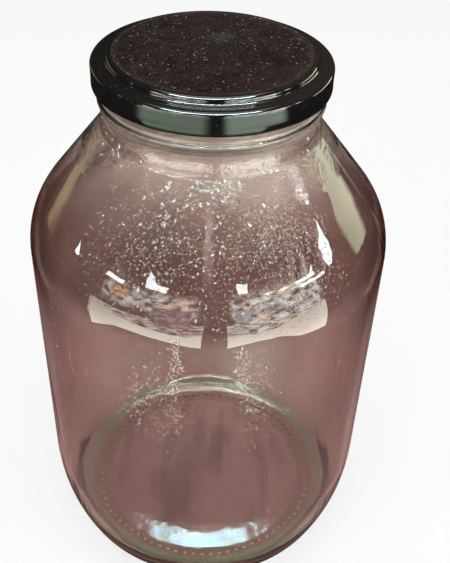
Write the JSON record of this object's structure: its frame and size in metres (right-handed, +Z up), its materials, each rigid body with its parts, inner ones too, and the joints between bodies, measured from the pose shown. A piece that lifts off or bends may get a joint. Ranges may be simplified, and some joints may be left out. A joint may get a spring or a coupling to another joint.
{
  "type": "glass jar with lid",
  "caption": "Wide-mouth round glass storage jar with sloping shoulder, short neck and black twist-off metal lid with a soft sealing ring; the lid turns and lifts off.",
  "frame": {"origin": "centre of the base, on the surface that the jar stands on", "axes": "+Z up along the jar's axis, -Y towards the front of the picture, +X to the right"},
  "size_m": [0.1872, 0.1872, 0.3012],
  "materials": {
    "jar_glass": "clear, seen with a mauve tint, greenish in thick parts",
    "lid_lacquer": "black lacquer, satin and dusty on the panel, glossy on the border and skirt",
    "seal_compound": "pale, soft and matte"
  },
  "bodies": {
    "jar": {"glass_jar": "jar_glass"},
    "lid_seal": {"seal_ring": "seal_compound"},
    "lid": {"lid_shell": "lid_lacquer"}
  },
  "joints": [
    {"name": "lid_lift", "type": "slide", "parent": "jar", "child": "lid_seal", "axis": [0, 0, 1], "range_m": [0, 0.12]},
    {"name": "lid_turn", "type": "hinge", "parent": "lid_seal", "child": "lid", "pos_m": [0, 0, 0.2952], "axis": [0, 0, 1], "range_deg": [-30, 0]}
  ]
}
